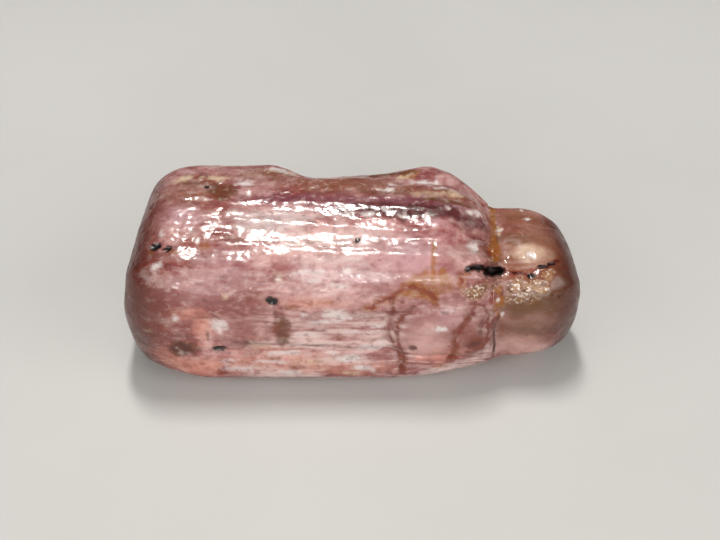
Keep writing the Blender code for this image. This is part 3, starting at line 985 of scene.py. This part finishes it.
@dataclass(frozen=True)
class TopazFinish:
    """Clear rosy topaz with a waterworn skin, stained by iron along its cracks."""

    pale: Colour = (0.72, 0.43, 0.41)
    rosy: Colour = (0.34, 0.105, 0.105)
    deep: Colour = (0.20, 0.045, 0.050)
    milk: Colour = (1.00, 0.87, 0.83)
    # painted dark rim of the frosted ends: painted shade of dark surroundings seen through the edges
    painted_dark_rim: Colour = (0.075, 0.010, 0.003)
    rust: Colour = (0.16, 0.065, 0.020)
    sand: Colour = (0.40, 0.22, 0.10)
    grain: Colour = (1.00, 0.92, 0.78)
    transmission: float = 0.54
    index: float = 1.62
    shine: float = 0.25
    absorbed: Colour = (0.95, 0.58, 0.54)
    absorption: float = 170.0
    bruise_bump: float = 0.030 * MM
    hair_bump: float = 0.012 * MM
    bump_strength: float = 0.8

    def build(self) -> bpy.types.Material:
        """Make the material.

        Returns:
            The material.
        """
        material = bpy.data.materials.new("topaz_skin")
        material.use_nodes = True
        bench = NodeBench(material.node_tree)
        shader = material.node_tree.nodes["Principled BSDF"]
        bench.feed(shader.inputs["Base Color"], self.colour(bench))
        bench.feed(shader.inputs["Roughness"], self.roughness(bench))
        bench.feed(shader.inputs["Normal"], self.normal(bench))
        shader.inputs["Transmission Weight"].default_value = self.transmission
        shader.inputs["IOR"].default_value = self.index
        shader.inputs["Specular IOR Level"].default_value = self.shine
        absorption = bench.add("ShaderNodeVolumeAbsorption")
        absorption.inputs["Color"].default_value = (*self.absorbed, 1.0)
        absorption.inputs["Density"].default_value = self.absorption
        output = material.node_tree.nodes["Material Output"]
        bench.feed(output.inputs["Volume"], absorption.outputs["Volume"])
        return material

    def clear_pink(self, bench: NodeBench) -> bpy.types.NodeSocket:
        """The stone's own pink: clouds, and growth bands with pale threads low on the front."""
        clouds = bench.rise(bench.noise((700.0, 1000.0, 1000.0), 3.0, 0.6), 0.36, 0.64)
        bands = bench.rise(bench.noise((380.0, 2600.0, 2600.0), 2.0, 0.5), 0.36, 0.62)
        threads = bench.rise(bench.noise((600.0, 4400.0, 4400.0), 1.0), 0.56, 0.70)
        banded = bench.worn(Wear.BANDED)
        base = bench.mix(clouds, self.rosy, self.pale)
        base = bench.mix(bench.maths("MULTIPLY", banded, 0.85), base, bench.mix(bands, self.rosy, self.milk))
        threaded = bench.maths("MULTIPLY", bench.maths("MULTIPLY", threads, banded), 0.7)
        return bench.mix(threaded, base, self.milk)

    def mottled(self, bench: NodeBench, base: bpy.types.NodeSocket) -> bpy.types.NodeSocket:
        """Dark and pale grains over any colour, fewer where the skin is smooth."""
        share = bench.rise(bench.worn(Wear.SMOOTH), 0.0, 1.0, 1.0, 0.25)
        for scale, strength in ((1400.0, 0.34), (3600.0, 0.50)):
            grains = bench.noise((0.8 * scale, scale, scale), 2.5, 0.6)
            dark = bench.maths("MULTIPLY", bench.rise(grains, 0.53, 0.25), share)
            light = bench.maths("MULTIPLY", bench.rise(grains, 0.50, 0.76), share)
            base = bench.mix(bench.maths("MULTIPLY", dark, strength), base, self.deep)
            base = bench.mix(bench.maths("MULTIPLY", light, 0.6 * strength), base, self.milk)
        return base

    def colour(self, bench: NodeBench) -> bpy.types.NodeSocket:
        """Pink, the patches over it with their painted highlights, glow and shade, then broken skin, the
        frosted ends with their painted dark rim, and the black grains.
        """
        source = bench.add("ShaderNodeAttribute", attribute_name="tint")
        base = bench.mix(source.outputs["Alpha"], self.clear_pink(bench), (0.0, 0.0, 0.0))
        base = self.mottled(bench, bench.mix(1.0, base, source.outputs["Color"], "ADD"))
        # frosted ends take the painted dark rim, painted shade seen through the edges
        base = bench.mix(bench.maths("MULTIPLY", bench.worn(Wear.FROST_AND_DARK_RIM), 0.92), base, self.painted_dark_rim)
        base = bench.mix(bench.worn(Wear.BROKEN), base, self.sugar(bench))
        return bench.mix(bench.worn(Wear.SPECK), base, Tint.BLACK.value)

    def sugar(self, bench: NodeBench) -> bpy.types.NodeSocket:
        """Broken skin like brown sugar: small pale grains on a rusty ground."""
        grains = bench.noise((7600.0, 8200.0, 8200.0), 1.0, 0.5)
        patches = bench.noise((2600.0, 2600.0, 2600.0), 2.0)
        ground = bench.mix(bench.rise(patches, 0.35, 0.62), self.rust, self.sand)
        return bench.mix(bench.rise(grains, 0.52, 0.68), ground, self.grain)

    def roughness(self, bench: NodeBench) -> bpy.types.NodeSocket:
        """A softly scuffed skin, more frosted at the ends."""
        scuffs = bench.rise(bench.noise((1500.0, 3000.0, 3000.0), 3.0, 0.6), 0.38, 0.66, 0.12, 0.27)
        frost_and_dark_rim = bench.maths("MULTIPLY", bench.worn(Wear.FROST_AND_DARK_RIM), 0.15)
        return bench.maths("ADD", scuffs, frost_and_dark_rim)

    def normal(self, bench: NodeBench) -> bpy.types.NodeSocket:
        """Hair-fine growth lines, then small bruises that make the skin glitter."""
        share = bench.rise(bench.worn(Wear.SMOOTH), 0.0, 1.0, 1.0, 0.12)
        hairs = bench.maths("MULTIPLY", bench.noise((1300.0, 4600.0, 4600.0), 0.0), share)
        bruises_and_glints = bench.maths("MULTIPLY", bench.noise((3400.0, 4600.0, 4600.0), 0.6, 0.5), share)
        lined = bench.bump(hairs, self.hair_bump, self.bump_strength)
        return bench.bump(bruises_and_glints, self.bruise_bump, self.bump_strength, lined)


@dataclass(frozen=True)
class Crystal:
    """The whole stone as one fine mesh with its attributes."""

    form: StoneForm = field(default_factory=StoneForm)
    relief: SkinRelief = field(default_factory=SkinRelief)
    flaws: Flaws = field(default_factory=Flaws)
    finish: TopazFinish = field(default_factory=TopazFinish)
    side_quads: int = 70
    ring_count: int = 300
    first_rings: int = 100
    rim_rings: int = 34
    rim_tilt: float = 50.0
    crowding: float = 1.0
    crowded_length: float = 1.1 * MM
    end_anchor: float = 3.0 * MM
    search_reach: float = 9.0 * MM
    search_steps: int = 26

    def height(self, points: Array) -> Array:
        """Height of the relief and flaws at each point of the surface, in metres."""
        skin = Skin.of(points)
        return self.relief.height(skin, self.form.waist_x / MM) - self.flaws.hollow(skin)

    def divided_cube(self) -> bpy.types.Object:
        """A cube from -1 to 1, subdivided in edit mode along X and then across it.

        One subdivision makes at most 100 cuts, so the rings are cut in two stages.

        Returns:
            The cube's object.
        """
        bpy.ops.object.select_all(action="DESELECT")
        bpy.ops.mesh.primitive_cube_add(size=2.0)
        cube = bpy.context.active_object
        bpy.ops.object.mode_set(mode="EDIT")
        for pieces in (self.first_rings, self.ring_count // self.first_rings):
            self.cut_edges(cube, lambda run: run > 1e-6, pieces - 1)
        self.cut_edges(cube, lambda run: run < 1e-6, self.side_quads - 1)
        bpy.ops.object.mode_set(mode="OBJECT")
        return cube

    def cut_edges(self, cube: bpy.types.Object, chosen: Callable[[float], bool], cuts: int) -> None:
        """Subdivide the edges whose run along X is chosen.

        Args:
            cube: The object in edit mode.
            chosen: Says whether an edge with this run along X is cut.
            cuts: How many cuts each edge gets.
        """
        bpy.ops.mesh.select_mode(type="EDGE")
        bpy.ops.mesh.select_all(action="DESELECT")
        edit = bmesh.from_edit_mesh(cube.data)
        for edge in edit.edges:
            edge.select_set(chosen(abs(edge.verts[0].co.x - edge.verts[1].co.x)))
        bmesh.update_edit_mesh(cube.data)
        bpy.ops.mesh.subdivide(number_cuts=cuts, quadcorner="INNERVERT")

    def ring_places(self) -> tuple[Array, Array]:
        """Where each ring of rays starts on the axis, and its tilt from the axis in radians."""
        first, last = -self.form.length / 2 + self.end_anchor, self.form.length / 2 - self.end_anchor
        fine = np.linspace(first, last, 2001)
        density = 1.0 + self.crowding * np.exp(-(((fine - self.form.waist_x) / self.crowded_length) ** 2))
        total = np.concatenate(([0.0], np.cumsum((density[1:] + density[:-1]) / 2)))
        barrel = np.interp(np.linspace(0.0, total[-1], self.ring_count - 2 * self.rim_rings + 1), total, fine)
        rim = np.linspace(self.rim_tilt, 90.0, self.rim_rings + 1)[:-1]
        starts = np.concatenate((np.full(self.rim_rings, first), barrel, np.full(self.rim_rings, last)))
        tilts = np.concatenate((rim, np.full(len(barrel), 90.0), rim[::-1]))
        return starts, np.radians(tilts)

    def rays(self, grid: Array) -> tuple[Array, Array]:
        """A start on the axis and a direction out of it for each vertex of the cube.

        Args:
            grid: The cube's vertices.

        Returns:
            The starts and the directions.
        """
        along, square = grid[:, 0], grid[:, 1:]
        edge = np.abs(square).max(axis=1)
        on_edge = square / np.maximum(edge, 1e-9)[:, None]
        wide = np.abs(on_edge[:, 0]) >= np.abs(on_edge[:, 1])
        bend = math.pi / 4 * on_edge
        across = np.where(wide, np.sign(on_edge[:, 0]) * np.cos(bend[:, 1]), np.sin(bend[:, 0]))
        upward = np.where(wide, np.sin(bend[:, 1]), np.sign(on_edge[:, 1]) * np.cos(bend[:, 0]))
        ring_starts, ring_tilts = self.ring_places()
        ring = np.rint((along + 1) / 2 * self.ring_count).astype(int)
        tilt = edge * ring_tilts[ring]
        forward = np.sign(along) * np.cos(tilt)
        directions = np.stack((forward, np.sin(tilt) * across, np.sin(tilt) * upward), axis=1)
        starts = np.zeros_like(directions)
        starts[:, 0] = ring_starts[ring]
        return starts, directions

    def surface(self, grid: Array) -> Array:
        """Slide each vertex along its ray to the stone's surface.

        Args:
            grid: The cube's vertices.

        Returns:
            The places on the surface, from the middle of the axis.
        """
        starts, directions = self.rays(grid)
        height = np.zeros(len(grid))
        for _ in range(2):
            near = np.zeros(len(grid))
            far = np.full(len(grid), self.search_reach)
            for _ in range(self.search_steps):
                middle = (near + far) / 2
                points = starts + directions * middle[:, None]
                below_rest = -self.form.height / 2 - points[:, 2]
                inside = np.maximum(self.form.plain(points) - height, below_rest) < 0.0
                near = np.where(inside, middle, near)
                far = np.where(inside, far, middle)
            points = starts + directions * near[:, None]
            height = self.height(points)
        return points

    def paint(self, mesh: bpy.types.Mesh, points: Array) -> None:
        """Keep the patches and the wear as attributes of the mesh.

        Args:
            mesh: The stone's mesh.
            points: Its vertices, from the middle of the axis.
        """
        skin = Skin.of(points)
        # the tint attribute holds the stains together with the painted highlights, glow, shade and
        # reflections
        tint = mesh.attributes.new("tint", "FLOAT_COLOR", "POINT")
        tint.data.foreach_set("color", self.flaws.tints(skin).astype(np.float32).ravel())
        for kind in Wear:
            layer = mesh.attributes.new(kind.value, "FLOAT", "POINT")
            layer.data.foreach_set("value", self.flaws.wear(skin, kind).astype(np.float32))

    def build(self) -> bpy.types.Object:
        """Carve and finish the stone.

        Returns:
            The stone's object.
        """
        stone = self.divided_cube()
        stone.name = "crystal_skin"
        mesh = stone.data
        grid = np.empty(len(mesh.vertices) * 3)
        mesh.vertices.foreach_get("co", grid)
        points = self.surface(grid.reshape(-1, 3))
        places = points + np.array(self.form.axis_place)
        mesh.vertices.foreach_set("co", places.ravel())
        mesh.update()
        self.paint(mesh, points)
        bpy.ops.object.shade_smooth()
        mesh.materials.append(self.finish.build())
        return stone


@dataclass(frozen=True)
class Studio:
    """Plain pale floor, soft light and a camera at the photo's angle."""

    elevation: float = 40.0
    distance: float = 60.0 * MM
    focal_length: float = 67.8
    aim: Colour = (0.31 * MM, 0.0, 3.80 * MM)
    aim_rise: float = 0.11 * MM
    floor_radius: float = 0.6
    floor_colour: Colour = (0.42, 0.42, 0.412)
    sky: float = 0.12
    warm: Colour = (1.0, 0.965, 0.92)

    def camera(self) -> bpy.types.Object:
        """Put the camera where the photo was taken from."""
        lens = bpy.data.cameras.new("camera")
        lens.lens = self.focal_length
        lens.sensor_width = 36.0
        lens.clip_start = 0.001
        lens.clip_end = 10.0
        tilt = math.radians(self.elevation)
        forward = Vector((0.0, math.cos(tilt), -math.sin(tilt)))
        upward = Vector((0.0, math.sin(tilt), math.cos(tilt)))
        camera = bpy.data.objects.new("camera", lens)
        camera.location = Vector(self.aim) - forward * self.distance + upward * self.aim_rise
        camera.rotation_euler = forward.to_track_quat("-Z", "Y").to_euler()
        bpy.context.scene.collection.objects.link(camera)
        bpy.context.scene.camera = camera
        return camera

    def softbox(self, name: str, place: Colour, size: tuple[float, float], power: float,
                colour: Colour = (1.0, 1.0, 1.0)) -> bpy.types.Object:
        """A rectangular light that faces the stone.

        Args:
            name: Name of the light.
            place: Where it hangs.
            size: Its two sides.
            power: Its power in watts.
            colour: Its colour.

        Returns:
            The light's object.
        """
        light = bpy.data.lights.new(name, "AREA")
        light.shape = "RECTANGLE"
        light.size, light.size_y = size
        light.energy = power
        light.color = colour
        lamp = bpy.data.objects.new(name, light)
        lamp.location = place
        lamp.rotation_euler = (Vector((0.0, 0.0, 0.004)) - Vector(place)).to_track_quat("-Z", "Y").to_euler()
        bpy.context.scene.collection.objects.link(lamp)
        return lamp

    def floor(self) -> bpy.types.Object:
        """A pale round table top, well wider than the view."""
        bpy.ops.object.select_all(action="DESELECT")
        bpy.ops.mesh.primitive_circle_add(vertices=96, radius=self.floor_radius, fill_type="NGON")
        table = bpy.context.active_object
        table.name = "floor"
        material = bpy.data.materials.new("pale_floor")
        material.use_nodes = True
        bench = NodeBench(material.node_tree)
        shader = material.node_tree.nodes["Principled BSDF"]
        tint = bench.rise(bench.noise((60.0, 60.0, 60.0)), 0.3, 0.7)
        darker = tuple(0.96 * part for part in self.floor_colour)
        bench.feed(shader.inputs["Base Color"], bench.mix(tint, self.floor_colour, darker))
        shader.inputs["Roughness"].default_value = 0.7
        table.data.materials.append(material)
        return table

    def build(self) -> None:
        """Set up the floor, lights, sky and camera."""
        self.floor()
        self.softbox("key", (-0.007, 0.034, 0.156), (0.018, 0.046), 0.19, self.warm)
        self.softbox("overhead", (-0.05, 0.05, 0.40), (0.26, 0.24), 0.34, self.warm)
        self.softbox("left", (-0.15, -0.11, 0.10), (0.16, 0.10), 0.17, self.warm)
        self.softbox("right", (0.16, -0.09, 0.13), (0.16, 0.10), 0.17, self.warm)
        self.softbox("front", (0.0, -0.25, 0.10), (0.28, 0.22), 0.56, self.warm)
        self.softbox("glint", (0.01, -0.150, 0.050), (0.020, 0.012), 0.016)
        world = bpy.data.worlds.new("studio")
        bpy.context.scene.world = world
        world.use_nodes = True
        background = world.node_tree.nodes["Background"]
        background.inputs["Color"].default_value = (self.sky, self.sky, self.sky, 1.0)
        bpy.context.scene.view_settings.view_transform = "Standard"
        self.camera()


def main() -> None:
    """Build the stone and the studio in order."""
    stone = Crystal().build()
    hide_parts("crystal")
    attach(stone, "root")
    LOG.info("stone: %d faces", len(stone.data.polygons))
    Studio().build()
    LOG.info("studio ready")


if __name__ == "__main__":
    main()
